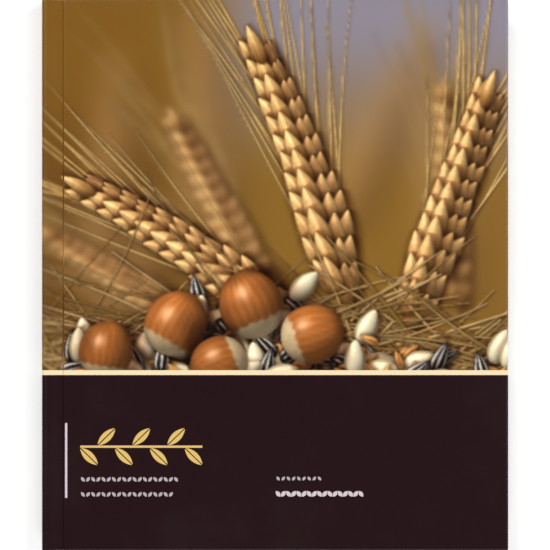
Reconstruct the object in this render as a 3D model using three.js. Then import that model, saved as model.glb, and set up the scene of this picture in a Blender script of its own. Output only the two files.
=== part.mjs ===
// Hardback book with a square spine, lying closed on its back cover.
// Millimetres, +Z up, +Y towards the head of the page, -X towards the spine.
// The origin is under the middle of the closed book.
import * as THREE from "three";

// Driving dimensions of the closed case
const CASE_WIDTH = 174;
const CASE_HEIGHT = 206;
const BOARD_THICKNESS = 2.5;
const BLOCK_SPACE = 10;
const SQUARE = 3;
const GROOVE_WIDTH = 5.4;
const CLEARANCE = 0.3;

// Text block
const SECTIONS_PER_HALF = 4;
const SECTION_GAP = 0.25;
const BAND_RADIUS = 0.8;

// Finish of the edges
const BOARD_EDGE_RADIUS = 0.7;
const BOARD_CORNER_RADIUS = 1;
const LEAF_CORNER_RADIUS = 0.3;
const BAND_END_ROUND = 0.25;
const EDGE_SEGMENTS = 3;
const ARC_SEGMENTS = 12;

// Covering material across the grooves
const JOINT_THICKNESS = 0.55;
const JOINT_SPINE_DEPTH = 0.25;
const JOINT_BOARD_DEPTH = 0.7;
const JOINT_STEPS = 12;

// Derived places
const CASE_THICKNESS = BLOCK_SPACE + 2 * BOARD_THICKNESS;
const SPINE_X = -CASE_WIDTH / 2;
const SPINE_INNER_X = SPINE_X + BOARD_THICKNESS;
const BOARD_X = SPINE_INNER_X + GROOVE_WIDTH;
const FORE_EDGE_X = CASE_WIDTH / 2;
const BOARD_WIDTH = FORE_EDGE_X - BOARD_X;
const LEAF_WIDTH = BOARD_WIDTH - SQUARE;
const LEAF_HEIGHT = CASE_HEIGHT - 2 * SQUARE;
const BOUND_X = SPINE_INNER_X + CLEARANCE;
const BOUND_WIDTH = GROOVE_WIDTH - 2 * CLEARANCE;
const BOUND_THICKNESS = BLOCK_SPACE - 2 * SECTION_GAP;
const SECTION_COUNT = 2 * SECTIONS_PER_HALF;
const SECTION_PITCH = (BLOCK_SPACE - SECTION_GAP) / SECTION_COUNT;
const SECTION_THICKNESS = SECTION_PITCH - SECTION_GAP;
const BAND_LENGTH = BOUND_THICKNESS - 2 * CLEARANCE;

const book = new THREE.Group();

function material(name, color, roughness) {
  return new THREE.MeshStandardMaterial({ name, color, roughness, metalness: 0 });
}

const printedFront = material("printed_front_cover", 0x8c6a3a, 0.25);
const printedBack = material("printed_back_cover", 0x7d5929, 0.25);
const leafPaper = material("leaf_paper", 0xf1ece0, 0.8);
const gluedBack = material("glued_back", 0xe4dcc8, 0.85);
const bandCotton = material("band_cotton", 0xe9e2d2, 0.9);

function add(name, geometry, meshMaterial) {
  const mesh = new THREE.Mesh(geometry, meshMaterial);
  mesh.name = name;
  book.add(mesh);
  return mesh;
}

function roundedRectangle(width, height, radius) {
  const x = width / 2 - radius;
  const y = height / 2 - radius;
  const shape = new THREE.Shape();
  shape.absarc(x, y, radius, 0, Math.PI / 2);
  shape.absarc(-x, y, radius, Math.PI / 2, Math.PI);
  shape.absarc(-x, -y, radius, Math.PI, 1.5 * Math.PI);
  shape.absarc(x, -y, radius, 1.5 * Math.PI, 2 * Math.PI);
  return shape;
}

// Extrudes a shape to a full depth, its two ends rounded by edgeRadius
function roundedExtrusion(shape, depth, edgeRadius) {
  const geometry = new THREE.ExtrudeGeometry(shape, {
    depth: depth - 2 * edgeRadius,
    bevelEnabled: edgeRadius > 0,
    bevelThickness: edgeRadius,
    bevelSize: edgeRadius,
    bevelOffset: -edgeRadius,
    bevelSegments: EDGE_SEGMENTS,
    curveSegments: ARC_SEGMENTS,
  });
  return geometry.translate(0, 0, edgeRadius);
}

// Stands a profile drawn in X and Z up along Y, centred on the book's height
function alongHeight(profile, length, edgeRadius) {
  const geometry = roundedExtrusion(profile, length, edgeRadius);
  return geometry.rotateX(Math.PI / 2).translate(0, length / 2, 0);
}

// Flat board with rounded corners and rounded edges
function coverBoard(name, bottomZ, meshMaterial) {
  const outline = roundedRectangle(BOARD_WIDTH, CASE_HEIGHT, BOARD_CORNER_RADIUS);
  const board = add(name, roundedExtrusion(outline, BOARD_THICKNESS, BOARD_EDGE_RADIUS), meshMaterial);
  board.position.set(BOARD_X + BOARD_WIDTH / 2, 0, bottomZ);
}

// Spine strip whose two long edges are full rounds about the hinge lines
function spineBoard() {
  const radius = BOARD_THICKNESS / 2;
  const profile = new THREE.Shape();
  profile.absarc(0, CASE_THICKNESS - radius, radius, 0, Math.PI);
  profile.absarc(0, radius, radius, Math.PI, 2 * Math.PI);
  const spine = add("spine_board", alongHeight(profile, CASE_HEIGHT, BOARD_EDGE_RADIUS), printedBack);
  spine.position.x = SPINE_X + radius;
}

// Strip of covering material, pressed in beside the board; depth runs inwards from the outer face
function jointStrip(name, depthToZ, meshMaterial) {
  const start = BOUND_X;
  const outer = [];
  const inner = [];
  for (let step = 0; step <= JOINT_STEPS; step += 1) {
    const t = step / JOINT_STEPS;
    const x = start + t * BOUND_WIDTH;
    const press = t * t * (3 - 2 * t);
    const depth = JOINT_SPINE_DEPTH + (JOINT_BOARD_DEPTH - JOINT_SPINE_DEPTH) * press;
    outer.push(new THREE.Vector2(x, depthToZ(depth)));
    inner.push(new THREE.Vector2(x, depthToZ(depth + JOINT_THICKNESS)));
  }
  const profile = new THREE.Shape([...outer, ...inner.reverse()]);
  const length = CASE_HEIGHT - 2 * BOARD_EDGE_RADIUS;
  add(name, alongHeight(profile, length, 0), meshMaterial);
}

// One folded section of leaves, from the bound back to the fore edge
function leafSection(name, index) {
  const outline = roundedRectangle(LEAF_WIDTH, LEAF_HEIGHT, LEAF_CORNER_RADIUS);
  const section = add(name, roundedExtrusion(outline, SECTION_THICKNESS, 0), leafPaper);
  const bottomZ = BOARD_THICKNESS + SECTION_GAP + index * SECTION_PITCH;
  section.position.set(BOARD_X + LEAF_WIDTH / 2, 0, bottomZ);
}

// Sewn and glued back of all the sections
function boundSpine() {
  const geometry = new THREE.BoxGeometry(BOUND_WIDTH, LEAF_HEIGHT, BOUND_THICKNESS);
  const bound = add("bound_spine", geometry, gluedBack);
  bound.position.set(BOUND_X + BOUND_WIDTH / 2, 0, CASE_THICKNESS / 2);
}

// Corded band across one end of the bound back
function endBand(name, side) {
  const round = new THREE.Shape();
  round.absarc(0, 0, BAND_RADIUS, 0, 2 * Math.PI);
  const band = add(name, roundedExtrusion(round, BAND_LENGTH, BAND_END_ROUND), bandCotton);
  const y = side * (LEAF_HEIGHT / 2 + CLEARANCE + BAND_RADIUS);
  band.position.set(BOUND_X + BAND_RADIUS, y, (CASE_THICKNESS - BAND_LENGTH) / 2);
}

coverBoard("back_board", 0, printedBack);
coverBoard("front_board", CASE_THICKNESS - BOARD_THICKNESS, printedFront);
jointStrip("back_joint", (depth) => depth, printedBack);
jointStrip("front_joint", (depth) => CASE_THICKNESS - depth, printedFront);
spineBoard();
boundSpine();
for (let index = 0; index < SECTION_COUNT; index += 1) {
  const half = index < SECTIONS_PER_HALF ? "rear" : "front";
  leafSection(`${half}_section_${(index % SECTIONS_PER_HALF) + 1}`, index);
}
endBand("headband", 1);
endBand("tailband", -1);

export default book;
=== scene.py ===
import math

import bmesh
import bpy
import numpy as np
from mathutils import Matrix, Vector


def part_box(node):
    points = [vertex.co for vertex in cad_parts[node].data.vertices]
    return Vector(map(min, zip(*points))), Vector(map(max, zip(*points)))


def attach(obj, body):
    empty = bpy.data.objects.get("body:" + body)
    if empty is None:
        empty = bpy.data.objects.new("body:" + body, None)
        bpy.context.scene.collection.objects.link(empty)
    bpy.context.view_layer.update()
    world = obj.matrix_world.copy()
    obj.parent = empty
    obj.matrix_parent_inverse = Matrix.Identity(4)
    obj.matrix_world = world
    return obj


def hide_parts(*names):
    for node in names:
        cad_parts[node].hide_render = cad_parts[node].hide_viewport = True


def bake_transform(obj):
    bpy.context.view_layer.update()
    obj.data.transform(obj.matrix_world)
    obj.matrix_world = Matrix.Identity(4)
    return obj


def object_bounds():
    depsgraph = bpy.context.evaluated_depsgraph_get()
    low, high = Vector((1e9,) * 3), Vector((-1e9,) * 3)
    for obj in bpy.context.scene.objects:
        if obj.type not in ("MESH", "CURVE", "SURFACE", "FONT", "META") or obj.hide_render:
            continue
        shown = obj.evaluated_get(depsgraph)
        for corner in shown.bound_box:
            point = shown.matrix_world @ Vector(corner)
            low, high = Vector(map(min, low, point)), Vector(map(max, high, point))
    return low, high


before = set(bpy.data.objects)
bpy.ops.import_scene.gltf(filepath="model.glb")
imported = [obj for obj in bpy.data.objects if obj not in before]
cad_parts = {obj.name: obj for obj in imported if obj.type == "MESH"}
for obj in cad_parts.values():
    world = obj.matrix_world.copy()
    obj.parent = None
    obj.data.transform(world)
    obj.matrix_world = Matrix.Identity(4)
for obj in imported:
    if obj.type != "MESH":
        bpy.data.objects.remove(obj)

CAD_LOW, CAD_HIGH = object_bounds()

# Places in metres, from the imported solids
MM = 0.001
SPINE_X = CAD_LOW.x
TAIL_Y = CAD_LOW.y
BACK_LOW, BACK_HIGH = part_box("back_board")
FRONT_LOW, FRONT_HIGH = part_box("front_board")
SPINE_LOW, SPINE_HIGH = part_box("spine_board")
BOUND_LOW, BOUND_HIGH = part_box("bound_spine")
BLOCK_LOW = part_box("rear_section_1")[0]
BLOCK_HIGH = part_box("front_section_4")[1]

# The closed book in millimetres: u runs from the spine's outer face, v up from the tail edge
CASE_WIDTH = (CAD_HIGH.x - CAD_LOW.x) / MM
CASE_HEIGHT = (CAD_HIGH.y - CAD_LOW.y) / MM
CASE_TOP = CAD_HIGH.z / MM
BOARD_U = (FRONT_LOW.x - SPINE_X) / MM

# Bands of the cover print, up from the tail edge
PANEL_TOP = 65.7
LINE_TOP = 67.5

# Laminating film, whose faint reflection the print below makes up for
FILM_ROUGHNESS = 0.2
FILM_SHEEN = 0.004

# Cover painting, whose grid starts a wrap's length round the spine
CELL = 0.3125
WRAP = 16.0
HUSK_PAIRS = 12

# Case
BOARD_CORNER = 1.0
BOARD_RIM = 0.55
RIM_CELL = 0.9
SPINE_RIM = 0.5
CUT_PITCH = 5.0
PRINT_PITCH = 0.625
COARSE_CUTS = 3
HALVED_CELLS = 8400
QUARTERED_CELLS = 13500
STRIP_THICKNESS = 0.45
STRIP_STEP = 0.35
STRIP_RIM = 0.3
STRIP_START = 1.0
STRIP_SPLIT = 5.2
STRIP_END = 8.1
SPINE_BEND = (1.6, 5.0)
COVER_BEND = (STRIP_SPLIT, 8.0)
CREASE_START_DEPTH = 0.06
CREASE_DEPTH = 0.6

# Text block
LEAVES = 64
LEAVES_PER_SECTION = 8
LEAF_THICKNESS = 0.115
LEAF_TOLERANCE = 0.01
PAPER_START = 3.1
PAPER_THICKNESS = 0.08
PAPER_GAP = 0.03
THREAD_PITCH = 0.35
GUTTER_BEND = (4.6, 18.0)
FINE_REACH = 17.0

# Camera
LENS = 200
SENSOR = 36
FILL = 1.0045


def add_object(name, data):
    thing = bpy.data.objects.new(name, data)
    bpy.context.scene.collection.objects.link(thing)
    return thing


def make_camera():
    """Looks straight down on the front cover, whose height just fills the picture."""
    data = bpy.data.cameras.new("camera")
    data.lens = LENS
    data.sensor_width = SENSOR
    camera = add_object("camera", data)
    distance = (CAD_HIGH.y - CAD_LOW.y) / FILL * LENS / SENSOR
    camera.location = ((CAD_LOW.x + CAD_HIGH.x) / 2, (CAD_LOW.y + CAD_HIGH.y) / 2, CAD_HIGH.z + distance)
    bpy.context.scene.camera = camera


make_camera()

# Cover painting

LIGHT = np.array([-0.48, 0.62, 0.62]) / np.linalg.norm([-0.48, 0.62, 0.62])
HALF_WAY = (LIGHT + [0, 0, 1]) / np.linalg.norm(LIGHT + [0, 0, 1])
DEEP_OCHRE = np.array([0.505, 0.350, 0.125])
OCHRE = np.array([0.550, 0.402, 0.165])
UMBER = np.array([0.430, 0.285, 0.125])
TAN = np.array([0.565, 0.470, 0.375])
MAUVE = np.array([0.565, 0.535, 0.580])
WARM_SHADE = np.array([0.80, 1.0, 1.12])


def ease(low, high, value):
    """0 before low, 1 after high and smooth between."""
    t = np.clip((value - low) / (high - low), 0, 1)
    return t * t * (3 - 2 * t)


def mixed(a, b, t):
    """Colour a turning into colour b as t goes from 0 to 1."""
    return np.asarray(a) + (np.asarray(b) - np.asarray(a)) * t[..., None]


def backdrop(u, v):
    """Colours far behind the subject: ochre below and to the left, mauve grey at the top."""
    colour = mixed(DEEP_OCHRE, OCHRE, ease(20, 90, u))
    colour = mixed(colour, UMBER, ease(90, 20, u) * ease(185, 120, v))
    colour = mixed(colour, TAN, ease(138, 176, v + 0.04 * u) * ease(46, 84, u))
    return mixed(colour, MAUVE, ease(166, 202, v + 0.04 * u) * ease(58, 92, u))


def blurred(image, radius):
    """The image as a lens shows it out of focus, by a radius in millimetres."""
    pad = int(3 * radius / CELL) + 1
    padded = np.pad(image, ((pad, pad), (pad, pad), (0, 0)), mode="edge")
    across = np.fft.rfftfreq(padded.shape[1])[None, :]
    down = np.fft.fftfreq(padded.shape[0])[:, None]
    keep = np.exp(-2 * (math.pi * radius / CELL) ** 2 * (across ** 2 + down ** 2))
    waves = np.fft.rfft2(padded, axes=(0, 1)) * keep[:, :, None]
    return np.fft.irfft2(waves, s=padded.shape[:2], axes=(0, 1))[pad:-pad, pad:-pad]


def husk_profile(t):
    return np.sin(math.pi * t ** 0.72) ** 0.75 * (1 - 0.15 * t)


def strand_profile(t):
    return 1 - 0.55 * t


def awn_profile(t):
    return 1 - 0.85 * t


def nut_profile(t):
    return np.sqrt(np.maximum(1 - np.abs(2 * t - 1) ** 2.1, 0)) * (1 - 0.10 * t ** 2)


def striped_seed_profile(t):
    return np.sin(math.pi * t ** 0.62) ** 0.85


def pale_seed_profile(t):
    return np.sin(math.pi * t ** 0.8) ** 0.6


def husk_tint(warmth):
    def tint(t, side, grit, mottle):
        ripe = ease(0.0, 0.9, t) * (0.55 + 0.45 * warmth)
        ribs = 0.06 * np.sin(side * 9 + t * 3)
        return mixed((0.66, 0.43, 0.20), (0.97, 0.78, 0.50), ripe) * (1 + ribs + 0.07 * grit)[..., None]
    return tint


def strand_tint(base, tip):
    def tint(t, side, grit, mottle):
        return mixed(base, tip, t) * (1 + 0.08 * mottle + 0.05 * grit)[..., None]
    return tint


def nut_tint(shade):
    def tint(t, side, grit, mottle):
        streaks = 0.45 * np.clip(0.5 + 0.5 * np.sin(side * 23 + 3 * shade + mottle), 0, 1)
        shell = mixed((0.74, 0.44, 0.21), (0.56, 0.30, 0.13), streaks)
        shell = shell * (1 + 0.10 * mottle - 0.25 * ease(0.8, 1.0, t))[..., None] * shade
        scar = ease(0.26, 0.20, t + 0.02 * mottle + 0.012 * np.sin(side * 17))
        return mixed(shell, (0.86, 0.74, 0.56), scar) * (1 + 0.05 * grit * scar)[..., None]
    return tint


def striped_tint(t, side, grit, mottle):
    stripes = ease(-0.15, 0.35, np.cos(side * 8.5) - 0.25 + 0.2 * mottle)
    stripes = stripes * ease(0.02, 0.2, t) * ease(1, 0.8, t)
    return mixed((0.13, 0.10, 0.09), (0.88, 0.85, 0.80), stripes) * (1 + 0.06 * grit)[..., None]


def pale_tint(t, side, grit, mottle):
    rim = 0.8 * ease(0.70, 0.80, np.abs(side)) * ease(0.98, 0.90, np.abs(side))
    return mixed((1.0, 0.93, 0.77), (0.76, 0.66, 0.47), rim) * (1 + 0.05 * mottle + 0.03 * grit)[..., None]


def kernel_tint(t, side, grit, mottle):
    furrow = np.exp(-(side / 0.16) ** 2) * ease(0.05, 0.2, t) * ease(1, 0.85, t)
    worn = 1 + 0.10 * mottle + 0.05 * grit
    return mixed((0.86, 0.60, 0.33), (0.45, 0.26, 0.12), furrow) * worn[..., None]


def shadow_beside(across, half, width):
    """How dark the shadow of a round body is at each distance across it."""
    spread = width * 0.35 + 0.4
    return np.clip((half + spread - np.abs(across + spread / 4)) / spread, 0, 1) ** 1.5


def facing(profile, t, side, lie, width, length):
    """Normals of a round body that lies along a direction."""
    c, s = lie
    step = 0.001
    swell = profile(np.clip(t + step, 0, 1)) - profile(np.clip(t - step, 0, 1))
    slope = swell / (2 * step) * width / 2 / length
    up = np.sqrt(np.maximum(1 - side ** 2, 0))
    normal = np.stack([-s * side - c * slope, c * side - s * slope, up], axis=-1)
    return normal / np.linalg.norm(normal, axis=-1, keepdims=True)


def lit(colour, normal, side, gloss):
    """The colour under the picture's light, darker towards the sides."""
    light = np.clip(normal @ LIGHT, 0, 1)
    spark = np.clip(normal @ HALF_WAY, 0, 1) ** 40
    colour = colour * ((0.56 + 0.58 * light) * (1 - 0.24 * side ** 4))[..., None]
    return colour + gloss * spark[..., None]


class Picture:
    """The print's upper area, painted from back to front with shaded round strokes."""

    def __init__(self, seed):
        self.draw = np.random.default_rng(seed)
        self.u = np.arange(-WRAP, CASE_WIDTH + CELL, CELL)
        self.v = np.arange(PANEL_TOP, CASE_HEIGHT + CELL, CELL)
        self.colour = self.bare()
        self.grit = self.cloud(0.35)
        self.mottle = self.cloud(2.2)

    def bare(self):
        return backdrop(*np.meshgrid(self.u, self.v))

    def cloud(self, radius):
        """A soft random field, mostly between -1 and 1."""
        field = blurred(self.draw.standard_normal((len(self.v), len(self.u), 1)), radius)[:, :, 0]
        return field / field.std() / 2

    def stroke(self, at, angle, length, width, profile, tint, bend=0.0, gloss=0.15, shadow=0.32):
        """One round body lying from a point along an angle, with the shadow that it drops."""
        c, s = math.cos(angle), math.sin(angle)
        ends_u = (at[0], at[0] + c * length - s * bend * length)
        ends_v = (at[1], at[1] + s * length + c * bend * length)
        margin = width + abs(bend) * length / 2 + 1.5
        columns = slice(*np.searchsorted(self.u, (min(ends_u) - margin, max(ends_u) + margin)))
        rows = slice(*np.searchsorted(self.v, (min(ends_v) - margin, max(ends_v) + margin)))
        du = self.u[None, columns] - at[0]
        dv = self.v[rows, None] - at[1]
        along = du * c + dv * s
        t = along / length
        across = -du * s + dv * c - bend * length * t ** 2
        t = np.clip(t, 0, 1)
        inside = (along > -CELL) & (along < length + CELL)
        true_half = profile(t) * width / 2
        half = np.maximum(true_half, CELL / 2)
        side = np.clip(across / half, -1, 1)
        cover = np.clip((half - np.abs(across)) / CELL + 0.5, 0, 1) * inside
        cover = cover * np.minimum(1, true_half / (CELL / 2))
        view = self.colour[rows, columns]
        dark = shadow_beside(across, half, width) * inside
        view *= 1 - shadow * WARM_SHADE * dark[..., None]
        normal = facing(profile, t, side, (c, s), width, length)
        colour = tint(t, side, self.grit[rows, columns], self.mottle[rows, columns])
        view += (lit(colour, normal, side, gloss) - view) * cover[..., None]

    def ear(self, at, angle, length, size, awns=True):
        """An ear of wheat on its straw, slightly bent."""
        bend = self.draw.uniform(-0.10, 0.10)
        c, s = math.cos(angle), math.sin(angle)

        def on_axis(t, aside):
            along = t * length
            off = bend * length * t ** 2 + aside
            return at[0] + along * c - off * s, at[1] + along * s + off * c

        self.straw(at, angle, size)
        if awns:
            self.awns(on_axis, angle, bend, size)
        self.husks(on_axis, angle, bend, size)

    def straw(self, at, angle, size):
        """The stalk below an ear."""
        back = angle + math.pi + self.draw.uniform(-0.03, 0.03)
        bend = self.draw.uniform(-0.08, 0.08)
        tint = strand_tint((0.80, 0.62, 0.34), (0.60, 0.44, 0.22))
        self.stroke(at, back, 60 * size, 1.5 * size, strand_profile, tint, bend)

    def awns(self, on_axis, angle, bend, size):
        """The long bristles that fan out from an ear."""
        tint = strand_tint((0.85, 0.66, 0.36), (0.95, 0.82, 0.56))
        for pair in range(HUSK_PAIRS):
            t = (pair + 0.5) / HUSK_PAIRS
            for side in (-1, 1):
                lean = angle + 2 * bend * t + side * self.draw.uniform(0.10, 0.30)
                start = on_axis(t + 0.10, side * 1.8 * size)
                reach = size * self.draw.uniform(34, 52)
                curl = side * self.draw.uniform(-0.05, 0.08)
                self.stroke(start, lean, reach, 0.62 * size, awn_profile, tint, curl, 0.3, 0.15)

    def husks(self, on_axis, angle, bend, size):
        """Husks in pairs, drawn from the tip down so that low ones lap over high ones."""
        for pair in reversed(range(HUSK_PAIRS)):
            t = (pair + 0.2) / HUSK_PAIRS
            taper = 1 - 0.35 * t - 0.25 * (1 - min(t * 5, 1))
            for side in (-1, 1):
                lean = 2 * bend * t + side * self.draw.uniform(0.36, 0.48) * (1 - 0.35 * t)
                for aside, turn, long in ((0.9, 1.0, 1.0), (0.45, 0.45, 0.95)):
                    start = on_axis(t + 0.25 * side / HUSK_PAIRS, side * aside * size * taper)
                    tint = husk_tint(self.draw.uniform(0.4, 1))
                    reach = 11 * size * taper * long
                    broad = 5.2 * size * taper
                    self.stroke(start, angle + lean * turn, reach, broad, husk_profile, tint, 0, 0.18, 0.40)
        tip, lean = on_axis(0.98, 0), angle + 2 * bend
        self.stroke(tip, lean, 8 * size, 3 * size, husk_profile, husk_tint(0.8), 0, 0.2)

    def ears(self, places):
        for u, v, degrees, length, size, awns in places:
            self.ear((u, v), math.radians(degrees), length, size, awns)

    def hay(self, count):
        for straw in range(count):
            u = self.draw.uniform(-20, 190)
            v = self.draw.uniform(60, 76 + 20 * math.exp(-((u - 78) / 62) ** 2))
            angle = self.draw.normal(0, 0.42) + math.pi * (self.draw.random() < 0.5)
            pale = self.draw.uniform(0, 1)
            base = (0.50 + 0.30 * pale, 0.36 + 0.28 * pale, 0.17 + 0.22 * pale)
            tip = (0.62 + 0.28 * pale, 0.47 + 0.30 * pale, 0.25 + 0.30 * pale)
            length, width = self.draw.uniform(25, 70), self.draw.uniform(0.7, 1.7)
            bend = self.draw.uniform(-0.18, 0.18)
            tint = strand_tint(base, tip)
            self.stroke((u, v), angle, length, width, strand_profile, tint, bend, shadow=0.28)

    def seeds(self, count):
        spots = []
        for seed in range(count):
            u = self.draw.normal(84, 44)
            heap = 70 + 26 * math.exp(-((u - 80) / 48) ** 2)
            spots.append((u, self.draw.uniform(62, heap)))
        for spot in sorted(spots, key=lambda spot: -spot[1]):
            kind = self.draw.random()
            angle = self.draw.uniform(0, 2 * math.pi)
            if kind < 0.26:
                self.stroke(spot, angle, 12.5, 6.0, striped_seed_profile, striped_tint, 0, 0.2, 0.42)
            elif kind < 0.55:
                self.stroke(spot, angle, 14, 8.0, pale_seed_profile, pale_tint, 0, 0.1, 0.4)
            else:
                self.stroke(spot, angle, 7.4, 3.7, husk_profile, kernel_tint, 0, 0.15, 0.4)

    def nuts(self, places):
        for u, v, degrees, size, shade in places:
            angle = math.radians(degrees)
            at = (u - math.cos(angle) * size / 2, v - math.sin(angle) * size / 2)
            self.stroke(at, angle, size, size * 0.94, nut_profile, nut_tint(shade), 0, 0.36, 0.55)

    def fade_round_spine(self):
        """Lets the subject fade out towards the back of the case."""
        self.colour = mixed(self.bare(), self.colour, ease(-14, -3, self.u)[None, :])

    def sample(self, colour, u, v):
        """Colours at points of the cover, blended between the nearest cells."""
        column = np.clip((u + WRAP) / CELL, 0, len(self.u) - 1.001)
        row = np.clip((v - PANEL_TOP) / CELL, 0, len(self.v) - 1.001)
        i, j = column.astype(int), row.astype(int)
        a, b = (column - i)[:, None], (row - j)[:, None]
        low = colour[j, i] * (1 - a) + colour[j, i + 1] * a
        high = colour[j + 1, i] * (1 - a) + colour[j + 1, i + 1] * a
        return low * (1 - b) + high * b


def paint_harvest():
    """Ears of wheat over hay, seeds and nuts, before an ochre and mauve distance."""
    picture = Picture(5)
    picture.ears((
        (20, 96, 78, 78, 1.8, False),
        (66, 112, 96, 80, 1.8, False),
        (112, 120, 70, 74, 1.7, False),
        (158, 90, 100, 80, 1.8, False),
        (2, 56, 50, 76, 1.8, False),
    ))
    bare = picture.bare()
    picture.colour = bare + (blurred(picture.colour, 5.5) - bare) * 0.7
    picture.ears((
        (86, 92, 119, 74, 1.4, True),
        (154, 90, 92, 78, 1.4, True),
        (58, 84, 150, 62, 1.3, True),
    ))
    picture.colour = blurred(picture.colour, 1.2)
    picture.ears((
        (94, 84, 141, 90, 1.85, True),
        (113, 92, 103, 96, 2.0, True),
        (136, 84, 69, 88, 1.85, True),
    ))
    picture.hay(420)
    picture.seeds(210)
    picture.nuts((
        (50, 85, 60, 25, 1.0),
        (78, 92, 115, 26, 0.95),
        (101, 81, 20, 24, 1.05),
        (66, 70, 200, 22, 0.98),
        (24, 75, 80, 22, 0.92),
    ))
    picture.colour = blurred(picture.colour, 0.22)
    picture.fade_round_spine()
    return picture


PICTURE = paint_harvest()
SOFT_COLOUR = blurred(PICTURE.colour, 0.3)
BUSY = np.linalg.norm(np.gradient(PICTURE.colour.mean(axis=2)), axis=0)
BUSY = blurred(BUSY[:, :, None], 0.4)[:, :, 0]


def front_print(place):
    return PICTURE.sample(PICTURE.colour, place[:, 0], place[:, 1])


def joint_print(place):
    """The front's print where the mesh is too coarse for its finest strands."""
    return PICTURE.sample(SOFT_COLOUR, place[:, 0], place[:, 1])


def spine_print(place):
    """The print carries on round the spine's two long edges."""
    u, v, z = place.T
    return PICTURE.sample(SOFT_COLOUR, z - CASE_TOP + np.where(z > CASE_TOP / 2, u, -u), v)


def back_print(place):
    """The distance alone, seen from the back."""
    return backdrop(-CASE_TOP - place[:, 0], place[:, 1])


# Shader trees


class Shader:
    """Adds nodes to one tree; each method gives back an output socket."""

    def __init__(self, tree):
        self.tree = tree

    def add(self, kind, inputs=None, **settings):
        node = self.tree.nodes.new(kind)
        for name, value in settings.items():
            setattr(node, name, value)
        for key, value in (inputs or {}).items():
            if isinstance(value, bpy.types.NodeSocket):
                self.tree.links.new(value, node.inputs[key])
            else:
                node.inputs[key].default_value = value
        return node

    def math(self, operation, *values):
        return self.add("ShaderNodeMath", dict(enumerate(values)), operation=operation).outputs[0]

    def times(self, a, b):
        return self.math("MULTIPLY", a, b)

    def plus(self, a, b):
        return self.math("ADD", a, b)

    def minus(self, a, b):
        return self.math("SUBTRACT", a, b)

    def larger(self, a, b):
        return self.math("MAXIMUM", a, b)

    def smaller(self, a, b):
        return self.math("MINIMUM", a, b)

    def ease(self, low, high, value):
        inputs = {"Value": value, "From Min": low, "From Max": high}
        return self.add("ShaderNodeMapRange", inputs, interpolation_type="SMOOTHSTEP").outputs[0]

    def spread(self, value, low, high):
        """A value from 0 to 1 spread from low to high."""
        return self.add("ShaderNodeMapRange", {"Value": value, "To Min": low, "To Max": high}).outputs[0]

    def mix(self, factor, a, b):
        return self.add("ShaderNodeMix", {0: factor, 6: a, 7: b}, data_type="RGBA").outputs[2]

    def noise(self, place, scale, detail=2.0, roughness=0.5):
        inputs = {"Vector": place, "Scale": scale, "Detail": detail, "Roughness": roughness}
        return self.add("ShaderNodeTexNoise", inputs).outputs[0]

    def scaled(self, place, x, y, z):
        return self.add("ShaderNodeVectorMath", {0: place, 1: (x, y, z)}, operation="MULTIPLY").outputs[0]

    def parts(self, place):
        return self.add("ShaderNodeSeparateXYZ", {0: place}).outputs

    def attribute(self, name, output):
        return self.add("ShaderNodeAttribute", attribute_name=name).outputs[output]

    def effect(self, group, **inputs):
        return self.add("ShaderNodeGroup", inputs, node_tree=group).outputs


def effect_group(name, inputs, outputs, build):
    """A node group with named sockets; build gets the shader and inputs and gives back the outputs."""
    group = bpy.data.node_groups.new(name, "ShaderNodeTree")
    for socket, kind in inputs.items():
        group.interface.new_socket(socket, in_out="INPUT", socket_type=kind)
    for socket, kind in outputs.items():
        group.interface.new_socket(socket, in_out="OUTPUT", socket_type=kind)
    shader = Shader(group)
    entry = group.nodes.new("NodeGroupInput")
    leave = group.nodes.new("NodeGroupOutput")
    results = build(shader, *(entry.outputs[socket] for socket in inputs))
    for socket, result in zip(outputs, results):
        group.links.new(result, leave.inputs[socket])
    return group


VECTOR, FLOAT, COLOUR = "NodeSocketVector", "NodeSocketFloat", "NodeSocketColor"


def as_linear(values):
    """Display values from 0 to 1 as the linear ones that shaders take."""
    return np.where(values <= 0.04045, values / 12.92, ((values + 0.055) / 1.055) ** 2.4)


def linear(red, green, blue):
    """A display colour from 0 to 255 as a linear one."""
    values = as_linear(np.array([red, green, blue]) / 255)
    return (*(float(value) for value in values), 1.0)


AUBERGINE = linear(36, 15, 19)
CREAM_LINE = linear(248, 228, 184)
PALE_YELLOW = linear(228, 192, 112)
WARM_WHITE = linear(216, 202, 206)
COVER_WHITE = linear(235, 230, 222)


def build_bands(shader, place, picture):
    """Dark panel, cream line and picture, from the tail up."""
    u, v, z = shader.parts(place)
    tone = shader.noise(place, 0.05, 3)
    panel = shader.mix(tone, tuple(0.86 * c for c in AUBERGINE[:3]) + (1.0,), AUBERGINE)
    above_panel = shader.ease(PANEL_TOP - 0.08, PANEL_TOP + 0.08, v)
    above_line = shader.ease(LINE_TOP - 0.08, LINE_TOP + 0.08, v)
    lower = shader.mix(above_panel, panel, CREAM_LINE)
    return (shader.mix(above_line, lower, picture),)


def pointed(shader, along, across, length, width):
    """The shape of a leaf or grain, pointed at both ends."""
    bow = shader.times(shader.times(along, along), width / length ** 2)
    half = shader.minus(width, bow)
    return shader.ease(-0.07, 0.07, shader.minus(half, shader.math("ABSOLUTE", across)))


def turned(shader, x, y, degrees):
    """Coordinates along and across a line that leans by an angle."""
    c, s = math.cos(math.radians(degrees)), math.sin(math.radians(degrees))
    along = shader.plus(shader.times(x, c), shader.times(y, s))
    across = shader.minus(shader.times(y, c), shader.times(x, s))
    return along, across


def repeated(shader, u, v, first, pitch, middle):
    """Coordinates within a row of cells, with every other cell upside down."""
    turn = shader.math("DIVIDE", shader.minus(u, first), pitch)
    odd = shader.math("MODULO", shader.math("FLOOR", turn), 2.0)
    side = shader.minus(shader.times(odd, 2.0), 1.0)
    x = shader.times(shader.minus(shader.math("FRACT", turn), 0.5), pitch)
    return x, shader.times(shader.minus(v, middle), side)


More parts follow.
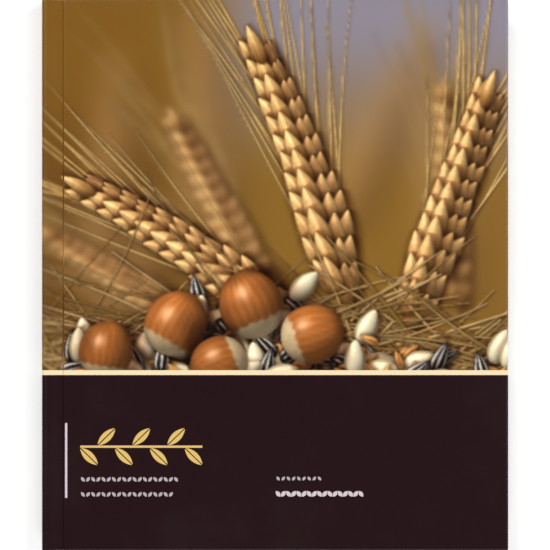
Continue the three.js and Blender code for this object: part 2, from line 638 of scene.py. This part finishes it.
def between(shader, value, low, high):
    """1 from low to high, with a soft edge as ink has."""
    above = shader.ease(low - 0.06, low + 0.06, value)
    below = shader.ease(high + 0.06, high - 0.06, value)
    return shader.times(above, below)


def sprig(shader, u, v, first, leaves, pitch, stem, size):
    """Leaves on alternate sides of a straight stem, each with a fine vein left out."""
    x, y = repeated(shader, u, v, first, pitch, stem)
    along, across = turned(shader, x, shader.minus(y, 2.1 * size), 44)
    vein = shader.ease(0.07 * size, 0.15 * size, shader.math("ABSOLUTE", across))
    leaf = shader.times(pointed(shader, along, across, 2.7 * size, size), vein)
    stalk = between(shader, v, stem - 0.24 * size, stem + 0.24 * size)
    span = between(shader, u, first, first + leaves * pitch)
    return shader.times(shader.larger(leaf, stalk), span)


def grains(shader, u, v, first, count, middle, length, width):
    """A row of small slanted grains, every other one leaning the other way."""
    pitch = 1.93
    x, y = repeated(shader, u, v, first, pitch, middle)
    along, across = turned(shader, x, y, 52)
    shape = pointed(shader, along, across, length, width)
    shape = shader.times(shape, between(shader, u, first, first + count * pitch))
    return shader.times(shape, between(shader, v, middle - length, middle + length))


def build_front_marks(shader, place):
    """A leafy sprig, a fine rule at its left and four rows of small grains."""
    u, v, z = shader.parts(place)
    yellow = sprig(shader, u, v, 14.4, 7, 6.5, 39.0, 1.75)
    white = shader.times(between(shader, u, 8.7, 9.55), between(shader, v, 19.9, 47.8))
    for first, count, middle, length, width, strength in (
        (14.4, 19, 26.8, 1.08, 0.58, 0.72),
        (14.4, 18, 21.2, 1.08, 0.58, 0.72),
        (87.2, 9, 27.1, 0.92, 0.52, 0.72),
        (87.2, 17, 21.4, 1.35, 0.76, 1.00),
    ):
        row = grains(shader, u, v, first, count, middle, length, width)
        white = shader.larger(white, shader.times(row, strength))
    face = shader.ease(CASE_TOP - 0.3, CASE_TOP - 0.2, z)
    return shader.times(yellow, face), shader.times(white, face)


def build_back_marks(shader, place):
    """A leafy sprig on the dark panel and a block of grain rows high on the picture."""
    u, v, z = shader.parts(place)
    yellow = sprig(shader, u, v, 71.5, 6, 6.5, 33.0, 1.75)
    low, pitch, rows = 142.0, 5.2, 7
    line = shader.math("FRACT", shader.math("DIVIDE", shader.minus(v, low), pitch))
    line = shader.times(shader.minus(line, 0.5), pitch)
    white = shader.times(grains(shader, u, line, 41.8, 51, 0.0, 1.08, 0.58), 0.72)
    white = shader.times(white, between(shader, v, low, low + rows * pitch))
    face = shader.ease(0.3, 0.2, z)
    return shader.times(yellow, face), shader.times(white, face)


def build_spine_marks(shader, place):
    """A small sprig up the spine's dark panel and a row of grains above it."""
    u, v, z = shader.parts(place)
    yellow = sprig(shader, v, z, 11.0, 7, 4.3, CASE_TOP / 2, 1.15)
    white = shader.times(grains(shader, v, z, 44.5, 7, CASE_TOP / 2, 0.92, 0.52), 0.72)
    face = shader.ease(0.3, 0.1, u)
    return shader.times(yellow, face), shader.times(white, face)


def build_edge_wear(shader, place, size, reach):
    """Scuffs along the edges of a box of one size, widest at its corners."""
    gaps = []
    for value, top in zip(shader.parts(place), shader.parts(size)):
        gap = shader.smaller(value, shader.minus(top, value))
        gaps.append(shader.larger(gap, 0.0))
    nearest = shader.smaller(gaps[0], shader.smaller(gaps[1], gaps[2]))
    furthest = shader.larger(gaps[0], shader.larger(gaps[1], gaps[2]))
    total = shader.plus(gaps[0], shader.plus(gaps[1], gaps[2]))
    edge = shader.minus(total, shader.plus(nearest, furthest))
    rubbed = shader.noise(place, 1.6, 4, 0.65)
    patches = shader.noise(place, 0.12, 2)
    corner = shader.ease(7.0, 0.5, furthest)
    amount = shader.plus(corner, shader.times(shader.ease(0.55, 0.75, patches), 0.25))
    width = shader.times(shader.times(reach, amount), shader.ease(0.4, 0.75, rubbed))
    return (shader.times(shader.ease(width, 0.0, edge), shader.ease(0.0, 0.03, width)),)


def build_film(shader, place, roughness):
    """Laminating film: a faint orange-peel, finger smudges and hairline scratches."""
    smudge = shader.noise(place, 0.035, 3, 0.6)
    hairs = shader.noise(shader.scaled(place, 0.12, 5.0, 1.0), 1.0, 2)
    cross_hairs = shader.noise(shader.scaled(place, 4.0, 0.09, 1.0), 1.0, 2)
    cross_hairs = shader.ease(0.72, 0.80, cross_hairs)
    scratch = shader.larger(shader.ease(0.70, 0.78, hairs), cross_hairs)
    dull = shader.times(shader.ease(0.45, 0.75, smudge), 0.06)
    dull = shader.plus(dull, shader.times(scratch, 0.08))
    rough = shader.plus(roughness, dull)
    peel = shader.noise(place, 1.1, 2)
    board = shader.noise(place, 0.10, 3)
    height = shader.plus(shader.times(peel, 0.25), board)
    return rough, shader.minus(height, shader.times(scratch, 0.05))


def build_fibre(shader, place, scale):
    """Paper: cloudy formation and short fibres."""
    formation = shader.noise(shader.scaled(place, 1.0, 1.0, 0.2), shader.times(scale, 0.4), 4, 0.6)
    fibres = shader.noise(shader.scaled(place, 3.0, 0.7, 1.0), scale, 3, 0.7)
    return formation, shader.plus(fibres, shader.times(formation, 0.5))


def build_layout(shader, place):
    """Two columns of word-length bars under a toned block with a sprig, on both pages alike."""
    u, v, z = shader.parts(place)
    rows = shader.math("DIVIDE", v, 4.4)
    bar = between(shader, shader.times(shader.math("FRACT", rows), 4.4), 1.3, 2.6)
    row = shader.times(shader.math("FLOOR", rows), 3.7)
    spot = shader.add("ShaderNodeCombineXYZ", {0: shader.times(u, 0.55), 1: row}).outputs[0]
    gaps = shader.noise(spot, 1.0, 0)
    columns = shader.larger(between(shader, u, 27.0, 88.0), between(shader, u, 95.0, 156.0))
    body = shader.times(columns, between(shader, v, 19.0, 108.0))
    ink = shader.times(shader.times(bar, shader.ease(0.38, 0.42, gaps)), body)
    block = shader.times(between(shader, u, 27.0, 156.0), between(shader, v, 118.0, 186.0))
    warm = shader.mix(shader.noise(place, 0.03, 2), linear(150, 112, 52), linear(196, 158, 104))
    tone = shader.mix(shader.ease(130.0, 184.0, v), warm, linear(158, 148, 158))
    tone = shader.mix(sprig(shader, u, v, 36.5, 5, 22.0, 146.0, 5.0), tone, linear(236, 212, 152))
    return shader.times(ink, 0.7), block, tone


BAND_INPUTS = {"Place": VECTOR, "Picture": COLOUR}
BANDS = effect_group("cover_bands", BAND_INPUTS, {"Colour": COLOUR}, build_bands)
MARK_MASKS = {"Yellow": FLOAT, "White": FLOAT}
FRONT_MARKS = effect_group("front_marks", {"Place": VECTOR}, MARK_MASKS, build_front_marks)
BACK_MARKS = effect_group("back_marks", {"Place": VECTOR}, MARK_MASKS, build_back_marks)
SPINE_MARKS = effect_group("spine_marks", {"Place": VECTOR}, MARK_MASKS, build_spine_marks)
WEAR_INPUTS = {"Place": VECTOR, "Size": VECTOR, "Reach": FLOAT}
EDGE_WEAR = effect_group("edge_wear", WEAR_INPUTS, {"Mask": FLOAT}, build_edge_wear)
FILM_INPUTS = {"Place": VECTOR, "Roughness": FLOAT}
FILM = effect_group("laminating_film", FILM_INPUTS, {"Roughness": FLOAT, "Height": FLOAT}, build_film)
FIBRE_INPUTS = {"Place": VECTOR, "Scale": FLOAT}
FIBRE = effect_group("paper_fibre", FIBRE_INPUTS, {"Cloud": FLOAT, "Height": FLOAT}, build_fibre)
LAYOUT_OUTPUTS = {"Ink": FLOAT, "Block": FLOAT, "Tone": COLOUR}
LAYOUT = effect_group("page_layout", {"Place": VECTOR}, LAYOUT_OUTPUTS, build_layout)


def new_material(name):
    material = bpy.data.materials.new(name)
    material.use_nodes = True
    shader = Shader(material.node_tree)
    surface = material.node_tree.nodes["Principled BSDF"]
    return material, shader, surface


def join(shader, value, surface, socket):
    shader.tree.links.new(value, surface.inputs[socket])


def finish_surface(shader, surface, colour, rough, height, depth):
    """Joins the colour, the roughness and a relief of a depth in metres."""
    join(shader, colour, surface, "Base Color")
    join(shader, rough, surface, "Roughness")
    relief = shader.add("ShaderNodeBump", {"Height": height, "Distance": depth}).outputs[0]
    join(shader, relief, surface, "Normal")


def printed_case(name, wear, marks=None):
    """Printed and laminated case paper, worn by a reach in millimetres along the closed book's edges."""
    material, shader, surface = new_material(name)
    place = shader.attribute("place", "Vector")
    colour = shader.effect(BANDS, Place=place, Picture=shader.attribute("picture", "Color"))["Colour"]
    if marks:
        marks = shader.effect(marks, Place=place)
        colour = shader.mix(marks["Yellow"], colour, PALE_YELLOW)
        colour = shader.mix(marks["White"], colour, WARM_WHITE)
    size = (CASE_WIDTH, CASE_HEIGHT, CASE_TOP)
    scuff = shader.effect(EDGE_WEAR, Place=place, Size=size, Reach=wear)["Mask"]
    colour = shader.mix(shader.times(scuff, 0.7), colour, COVER_WHITE)
    film = shader.effect(FILM, Place=place, Roughness=FILM_ROUGHNESS)
    rough = shader.plus(film["Roughness"], shader.times(scuff, 0.35))
    height = shader.minus(film["Height"], shader.times(scuff, 0.8))
    finish_surface(shader, surface, colour, rough, height, 0.00004)
    surface.inputs["Specular IOR Level"].default_value = 0.3
    return material


def printed_paper(name, tone):
    """Coated text paper that carries the page layout on both sides."""
    material, shader, surface = new_material(name)
    place = shader.attribute("place", "Vector")
    fibre = shader.effect(FIBRE, Place=place, Scale=2.0)
    colour = shader.mix(fibre["Cloud"], tuple(0.95 * c for c in tone[:3]) + (1.0,), tone)
    layout = shader.effect(LAYOUT, Place=place)
    colour = shader.mix(layout["Block"], colour, layout["Tone"])
    colour = shader.mix(layout["Ink"], colour, linear(70, 62, 58))
    rough = shader.spread(fibre["Cloud"], 0.42, 0.62)
    finish_surface(shader, surface, colour, rough, fibre["Height"], 0.00002)
    surface.inputs["Specular IOR Level"].default_value = 0.35
    return material


def cut_edges(name):
    """The trimmed edges of the leaves, lightly toned from leaf to leaf and along their length."""
    material, shader, surface = new_material(name)
    place = shader.attribute("place", "Vector")
    leaf_tone = shader.noise(shader.scaled(place, 0.02, 0.02, 5.0), 1.0, 2)
    handled = shader.noise(place, 0.02, 3)
    colour = shader.mix(leaf_tone, linear(226, 219, 203), linear(248, 244, 234))
    colour = shader.mix(shader.ease(0.45, 0.75, handled), colour, linear(222, 211, 190))
    trim = shader.noise(shader.scaled(place, 0.6, 0.6, 9.0), 1.0, 2)
    finish_surface(shader, surface, colour, shader.spread(leaf_tone, 0.65, 0.85), trim, 0.00004)
    return material


def endpaper(name):
    """Uncoated off-white endpaper, with the edge of the turned-in cover showing through."""
    material, shader, surface = new_material(name)
    place = shader.attribute("place", "Vector")
    u, v, z = shader.parts(place)
    fibre = shader.effect(FIBRE, Place=place, Scale=3.0)
    colour = shader.mix(fibre["Cloud"], linear(236, 230, 216), linear(247, 243, 233))
    inset_u = shader.minus(CASE_WIDTH, u)
    inset_v = shader.smaller(v, shader.minus(CASE_HEIGHT, v))
    inset = shader.smaller(inset_u, inset_v)
    ragged = shader.times(shader.noise(place, 0.05, 2), 1.5)
    step = shader.ease(16.2, 15.6, shader.plus(inset, ragged))
    height = shader.plus(shader.times(fibre["Height"], 0.2), step)
    rough = shader.spread(fibre["Cloud"], 0.75, 0.9)
    finish_surface(shader, surface, colour, rough, height, 0.00012)
    surface.inputs["Specular IOR Level"].default_value = 0.25
    return material


def band_cotton(name):
    """Cotton thread wound round the head and tail bands in two colours."""
    material, shader, surface = new_material(name)
    place = shader.attribute("place", "Vector")
    u, v, z = shader.parts(place)
    turns = shader.math("FRACT", shader.math("DIVIDE", z, 2.1))
    stripe = shader.ease(0.47, 0.53, turns)
    colour = shader.mix(stripe, linear(236, 226, 204), linear(92, 48, 52))
    fuzz = shader.noise(place, 9.0, 3, 0.7)
    colour = shader.mix(shader.times(fuzz, 0.3), colour, linear(250, 244, 230))
    finish_surface(shader, surface, colour, shader.spread(fuzz, 0.75, 0.95), fuzz, 0.00006)
    return material


def gauze(name):
    """Open-weave spine gauze set in glue."""
    material, shader, surface = new_material(name)
    place = shader.attribute("place", "Vector")
    u, v, z = shader.parts(place)
    warp = shader.math("SINE", shader.times(v, 7.5))
    weft = shader.math("SINE", shader.times(z, 7.5))
    weave = shader.spread(shader.larger(warp, weft), 0.3, 1.0)
    colour = shader.mix(weave, linear(186, 168, 130), linear(226, 217, 196))
    finish_surface(shader, surface, colour, shader.spread(weave, 0.55, 0.85), weave, 0.00012)
    return material


# Meshes


def finish_mesh(name, bm, materials, colours=None, sharp=35):
    """Turns a bmesh into a piece that knows each point's place on the closed book and its print colour."""
    bmesh.ops.recalc_face_normals(bm, faces=bm.faces)
    mesh = bpy.data.meshes.new(name)
    bm.to_mesh(mesh)
    bm.free()
    mesh.shade_smooth()
    mesh.set_sharp_from_angle(angle=math.radians(sharp))
    for material in materials:
        mesh.materials.append(material)
    count = len(mesh.vertices)
    points = np.empty(count * 3)
    mesh.vertices.foreach_get("co", points)
    place = (points.reshape(-1, 3) - (SPINE_X, TAIL_Y, 0)) / MM
    mesh.attributes.new("place", "FLOAT_VECTOR", "POINT").data.foreach_set("vector", place.ravel())
    if colours:
        shown = as_linear(np.clip(colours(place), 0, 1))
        shown = np.maximum(shown - FILM_SHEEN, 0)
        rgba = np.concatenate([shown, np.ones((count, 1))], axis=1)
        mesh.attributes.new("picture", "FLOAT_COLOR", "POINT").data.foreach_set("color", rgba.ravel())
    return add_object(name, mesh)


def evenly(low, high, pitch):
    """Places between low and high that divide it into equal steps."""
    count = max(1, round((high - low) / pitch))
    return [low + (high - low) * n / count for n in range(1, count)]


def cut_across(bm, axis, places):
    """Cuts the mesh by planes across one axis."""
    normal = [0.0, 0.0, 0.0]
    normal[axis] = 1.0
    for place in places:
        at = [0.0, 0.0, 0.0]
        at[axis] = place
        geometry = bm.verts[:] + bm.edges[:] + bm.faces[:]
        bmesh.ops.bisect_plane(bm, geom=geometry, dist=1e-7, plane_co=at, plane_no=normal)


def block(low, high):
    """A plain block between two corners."""
    bm = bmesh.new()
    bmesh.ops.create_cube(bm, size=1.0)
    bmesh.ops.scale(bm, vec=high - low, verts=bm.verts)
    bmesh.ops.translate(bm, vec=(low + high) / 2, verts=bm.verts)
    return bm


def round_off(bm, edges, radius, segments):
    """Rounds edges by a radius in millimetres."""
    bmesh.ops.bevel(bm, geom=edges, offset=radius * MM, offset_type="OFFSET", affect="EDGES",
                    segments=segments, profile=0.5, material=-1)


def rounded_slab(low, high, corner_axis, corner, rim):
    """A slab with its four edges along one axis rounded by corner, then the rims of both ends by rim."""
    bm = block(low, high)

    def runs_along(edge):
        return abs(edge.verts[0].co[corner_axis] - edge.verts[1].co[corner_axis]) > 1e-6

    round_off(bm, [edge for edge in bm.edges if runs_along(edge)], corner, segments=7)
    round_off(bm, [edge for edge in bm.edges if not runs_along(edge)], rim, segments=4)
    return bm


def once(items):
    """Each item a single time, in the order met, which a set doesn't keep from run to run."""
    return list(dict.fromkeys(items))


def split_cells(bm, cells, cuts, side):
    """Divides each four-sided cell into a grid, but cuts no edge that is short for its side."""
    edges = once(edge for cell in cells for edge in cell.edges if edge.calc_length() > side / 2 * MM)
    bmesh.ops.subdivide_edges(bm, edges=edges, cuts=cuts, use_grid_fill=True)


def board_mesh(low, high):
    """A narrow row of cells beside the rims keeps the flat face flat up to its edges."""
    bm = rounded_slab(low, high, 2, BOARD_CORNER, BOARD_RIM)
    margin = (BOARD_RIM + RIM_CELL) * MM
    for axis in (0, 1):
        places = evenly(low[axis], high[axis], CUT_PITCH * MM)
        cut_across(bm, axis, [low[axis] + margin, *places, high[axis] - margin])
    return bm


def busy_at(cell):
    """How much the picture changes within a cell of the front cover."""
    centre = cell.calc_center_median()
    column = int(((centre.x - SPINE_X) / MM + WRAP) / CELL)
    row = int(((centre.y - TAIL_Y) / MM - PANEL_TOP) / CELL)
    rows, columns = BUSY.shape
    return BUSY[min(max(row, 0), rows - 1), min(max(column, 0), columns - 1)]


def make_front_cover():
    """The board's mesh is finest where the picture has detail and stays coarse where it is soft."""
    bm = board_mesh(FRONT_LOW, FRONT_HIGH)
    picture_low = TAIL_Y + (PANEL_TOP - CUT_PITCH) * MM

    def cells(side):
        """Cells of the picture up to a side in millimetres."""
        return [face for face in bm.faces
                if face.normal.z > 0.99 and len(face.verts) == 4
                and face.calc_center_median().y > picture_low
                and max(edge.calc_length() for edge in face.edges) < side * 1.2 * MM]

    side = CUT_PITCH
    split_cells(bm, cells(side), COARSE_CUTS, side)
    side /= COARSE_CUTS + 1
    for count in (HALVED_CELLS, QUARTERED_CELLS):
        busiest = sorted(cells(side), key=busy_at, reverse=True)[:count]
        split_cells(bm, busiest, 1, side)
        side /= 2
    return finish_mesh("front_cover", bm, [FRONT_PRINT], front_print)


def make_back_cover():
    bm = board_mesh(BACK_LOW, BACK_HIGH)
    return finish_mesh("back_cover", bm, [BACK_PRINT], back_print)


def make_spine():
    """The spine strip's long edges are full rounds."""
    full_round = (SPINE_HIGH.x - SPINE_LOW.x) / 2 / MM - 0.005
    bm = rounded_slab(SPINE_LOW, SPINE_HIGH, 1, full_round, SPINE_RIM)
    cut_across(bm, 2, evenly(SPINE_LOW.z, SPINE_HIGH.z, PRINT_PITCH * MM))
    cut_across(bm, 1, evenly(SPINE_LOW.y, SPINE_HIGH.y, CUT_PITCH * MM))
    lengths = [edge for edge in bm.edges if edge.calc_length() > CUT_PITCH / 2 * MM]
    bmesh.ops.subdivide_edges(bm, edges=lengths, cuts=round(CUT_PITCH / PRINT_PITCH) - 1)
    return finish_mesh("spine_cover", bm, [SPINE_PRINT], spine_print)


def crease(u):
    """How deep the covering lies across the joint: level at the spine, deepest at the board's edge."""
    pressed = ease(STRIP_START + 0.4, STRIP_END - 0.5, u) ** 1.2
    return CREASE_START_DEPTH + (CREASE_DEPTH - CREASE_START_DEPTH) * pressed


def make_joint_strip(name, start, end, outer_z, inwards, colours):
    """Covering material across part of a joint, pressed into its crease."""
    bm = bmesh.new()
    steps = max(6, round((end - start) / STRIP_STEP))
    rim = STRIP_RIM * MM
    length = SPINE_HIGH.y - SPINE_LOW.y - 2 * rim
    points = []
    for u in np.linspace(start, end, steps + 1):
        z = outer_z + inwards * float(crease(u)) * MM
        points.append(bm.verts.new((SPINE_X + u * MM, SPINE_LOW.y + rim, z)))
    edges = [bm.edges.new(pair) for pair in zip(points, points[1:])]
    rows = round(length / (PRINT_PITCH * MM))
    step = (0, length / rows, 0)
    bmesh.ops.spin(bm, geom=points + edges, axis=(0, 1, 0), dvec=step, angle=0.0, steps=rows)
    bmesh.ops.recalc_face_normals(bm, faces=bm.faces)
    if bm.faces[0].normal.z * inwards > 0:
        bmesh.ops.reverse_faces(bm, faces=bm.faces)
    bmesh.ops.solidify(bm, geom=bm.faces[:], thickness=STRIP_THICKNESS * MM)
    return finish_mesh(name, bm, [JOINT_PRINT], colours)


def sheet_mesh(bm, low, high, thickness):
    """Adds one closed sheet, finely divided near the spine."""
    gutter_columns, columns, rows = 34, 44, 6
    bend = min(FINE_REACH * MM, (high[0] - low[0]) * 0.75)
    made = bmesh.ops.create_grid(bm, x_segments=columns, y_segments=rows, size=0.5)["verts"]
    for vert in made:
        column = (vert.co.x + 0.5) * columns
        in_bend = min(column, gutter_columns) / gutter_columns
        past = max(0.0, column - gutter_columns) / (columns - gutter_columns)
        vert.co.x = low[0] + bend * in_bend + (high[0] - low[0] - bend) * past
        vert.co.y = low[1] + (high[1] - low[1]) * (vert.co.y + 0.5)
        vert.co.z = low[2] + thickness
    faces = once(face for vert in made for face in vert.link_faces)
    bmesh.ops.solidify(bm, geom=faces, thickness=thickness)


def make_section(name, first):
    """Eight leaves, each trimmed within a few hundredths of its neighbours."""
    draw = np.random.default_rng(100 + first)
    bm = bmesh.new()
    pitch = (BLOCK_HIGH.z - BLOCK_LOW.z) / LEAVES
    for leaf in range(first, first + LEAVES_PER_SECTION):
        trim = draw.uniform(0, 0.08, 3) * MM
        low = (BOUND_LOW.x + 0.25 * MM, BLOCK_LOW.y + trim[1], BLOCK_LOW.z + leaf * pitch)
        sheet_mesh(bm, low, (BLOCK_HIGH.x - trim[0], BLOCK_HIGH.y - trim[2]), LEAF_THICKNESS * MM)
    piece = finish_mesh(name, bm, [PRINTED_LEAF, LEAF_EDGES, FLYLEAF])
    first_top = BLOCK_LOW.z + (LEAF_THICKNESS + LEAF_TOLERANCE) * MM
    last_bottom = BLOCK_HIGH.z - pitch - LEAF_TOLERANCE * MM
    for face in piece.data.polygons:
        if abs(face.normal.z) < 0.5:
            face.material_index = 1
        elif not first_top < face.center.z < last_bottom:
            face.material_index = 2
    return piece


def make_endpaper(name, start, end, bottom):
    """Part of an endpaper's glued half, from one distance in from the spine to another."""
    bm = bmesh.new()
    low = (SPINE_X + start * MM, BLOCK_LOW.y, bottom)
    sheet_mesh(bm, low, (SPINE_X + end * MM, BLOCK_HIGH.y), PAPER_THICKNESS * MM)
    return finish_mesh(name, bm, [FLYLEAF])


def thread_radius(t, turns, end):
    """How full the wound thread is along a band, from nothing at its tips to 1."""
    dome = math.sqrt(1 - (1 - min(1.0, min(t, 1 - t) / end)) ** 2)
    return dome * (0.86 + 0.14 * abs(math.sin(math.pi * t * turns)))


def make_end_band(name, node):
    """Thread wound over a core: a stack of turns with rounded tips."""
    low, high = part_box(node)
    centre = (low + high) / 2
    radius = (high.x - low.x) / 2
    height = high.z - low.z
    turns = round(height / THREAD_PITCH / MM)
    bm = bmesh.new()
    outline = []
    for t in np.linspace(0, 1, turns * 4 + 1):
        out = radius * thread_radius(float(t), turns, radius / 2 / height)
        outline.append(bm.verts.new((centre.x + out, centre.y, low.z + height * t)))
    edges = [bm.edges.new(pair) for pair in zip(outline, outline[1:])]
    bmesh.ops.spin(bm, geom=outline + edges, cent=centre, axis=(0, 0, 1), angle=2 * math.pi,
                   steps=16, use_merge=True)
    bmesh.ops.remove_doubles(bm, verts=bm.verts, dist=1e-6)
    return finish_mesh(name, bm, [COTTON], sharp=180)


def make_lining():
    """Gauze and glue over the folds at the back of the sections."""
    high = BOUND_HIGH.copy()
    high.x = BOUND_LOW.x + 0.2 * MM
    low = BOUND_LOW.copy()
    low.y += 0.5 * MM
    high.y -= 0.5 * MM
    bm = block(low, high)
    round_off(bm, bm.edges[:], 0.06, segments=2)
    cut_across(bm, 1, evenly(low.y, high.y, CUT_PITCH * MM))
    return finish_mesh("spine_lining", bm, [GAUZE])


FRONT_PRINT = printed_case("printed_front_cover", 0.35, FRONT_MARKS)
BACK_PRINT = printed_case("printed_back_cover", 0.45, BACK_MARKS)
SPINE_PRINT = printed_case("printed_spine", 0.8, SPINE_MARKS)
JOINT_PRINT = printed_case("printed_joint", 0.3)
PRINTED_LEAF = printed_paper("printed_leaf", linear(247, 244, 236))
LEAF_EDGES = cut_edges("leaf_edges")
FLYLEAF = endpaper("endpaper")
COTTON = band_cotton("band_cotton")
GAUZE = gauze("spine_gauze")


def point(u):
    """A point u millimetres in from the spine's outer face."""
    return (SPINE_X + u * MM, 0.0, 0.0)


def carry(piece, body, node):
    """Moves a piece with one body, in place of one solid."""
    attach(piece, body)
    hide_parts(node)


def flex(piece, bend, node):
    """Bakes a piece's place into its mesh and hides the solid it stands for, if one is given; the two
    distances in from the spine change nothing.
    """
    point(bend[0])
    point(bend[1])
    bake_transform(piece)
    if node:
        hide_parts(node)


def dress_case():
    carry(make_front_cover(), "front_cover", "front_board")
    carry(make_back_cover(), "back_half", "back_board")
    carry(make_spine(), "spine", "spine_board")
    carry(make_lining(), "spine", "bound_spine")
    carry(make_end_band("head_band", "headband"), "spine", "headband")
    carry(make_end_band("tail_band", "tailband"), "spine", "tailband")


def dress_joints():
    front_z, back_z = FRONT_HIGH.z, BACK_LOW.z
    strip = make_joint_strip("front_joint_spine_side", STRIP_START, STRIP_SPLIT, front_z, -1, joint_print)
    flex(strip, SPINE_BEND, "front_joint")
    strip = make_joint_strip("front_joint_board_side", STRIP_SPLIT, STRIP_END, front_z, -1, joint_print)
    flex(strip, COVER_BEND, "front_joint")
    strip = make_joint_strip("back_joint_covering", STRIP_START, STRIP_END, back_z, 1, back_print)
    flex(strip, SPINE_BEND, "back_joint")


def dress_leaves():
    per_half = LEAVES // LEAVES_PER_SECTION // 2
    for half, body in (("rear", "back_half"), ("front", "front_leaves")):
        for index in range(per_half):
            first = (index + per_half * (half == "front")) * LEAVES_PER_SECTION
            section = make_section(f"{half}_leaves_{index + 1}", first)
            node = f"{half}_section_{index + 1}"
            flex(section, GUTTER_BEND, node)


def dress_endpapers():
    width = (BLOCK_HIGH.x - SPINE_X) / MM
    front_z = FRONT_LOW.z - (PAPER_GAP + PAPER_THICKNESS) * MM
    rear_z = BACK_HIGH.z + PAPER_GAP * MM
    fold = make_endpaper("front_endpaper_fold", PAPER_START, STRIP_SPLIT, front_z)
    flex(fold, (PAPER_START, STRIP_SPLIT), None)
    paste = make_endpaper("front_pastedown", STRIP_SPLIT, width, front_z)
    flex(paste, (STRIP_SPLIT, BOARD_U), None)
    paste = make_endpaper("rear_pastedown", PAPER_START, width, rear_z)
    flex(paste, (PAPER_START, STRIP_SPLIT), None)


def make_floor():
    """A pale floor that brightens away from the book, so that its far end stays white."""
    bm = bmesh.new()
    bmesh.ops.create_grid(bm, x_segments=2, y_segments=2, size=30.0)
    bmesh.ops.translate(bm, vec=(0, 0, -0.0004), verts=bm.verts)
    mesh = bpy.data.meshes.new("floor")
    bm.to_mesh(mesh)
    bm.free()
    floor = add_object("floor", mesh)
    material, shader, surface = new_material("floor_paint")
    place = shader.add("ShaderNodeTexCoord").outputs["Object"]
    distance = shader.add("ShaderNodeVectorMath", {0: place}, operation="LENGTH").outputs["Value"]
    glow = shader.spread(shader.ease(0.4, 1.6, distance), 0.28, 0.9)
    join(shader, glow, surface, "Emission Color")
    surface.inputs["Emission Strength"].default_value = 1.0
    surface.inputs["Base Color"].default_value = (0.9, 0.9, 0.9, 1)
    surface.inputs["Roughness"].default_value = 1.0
    surface.inputs["Specular IOR Level"].default_value = 0.0
    mesh.materials.append(material)


def make_lights():
    """Soft lamps to the sides and a dim grey room."""
    lamps = (
        ("key", (-0.9, 1.0, 1.9), 25.6),
        ("fill", (1.2, 0.4, 1.8), 18.5),
        ("low", (0.15, -1.35, 1.8), 17.3),
    )
    for name, place, power in lamps:
        data = bpy.data.lights.new(name, "AREA")
        data.energy = power
        data.size = 1.0
        lamp = add_object(name, data)
        lamp.location = place
        aim = -lamp.location
        lamp.rotation_euler = aim.to_track_quat("-Z", "Y").to_euler()

    world = bpy.data.worlds.new("room")
    world.use_nodes = True
    world.node_tree.nodes["Background"].inputs["Color"].default_value = (1, 1, 1, 1)
    world.node_tree.nodes["Background"].inputs["Strength"].default_value = 0.12
    bpy.context.scene.world = world
    bpy.context.scene.view_settings.view_transform = "Standard"


dress_case()
dress_joints()
dress_leaves()
dress_endpapers()
make_floor()
make_lights()
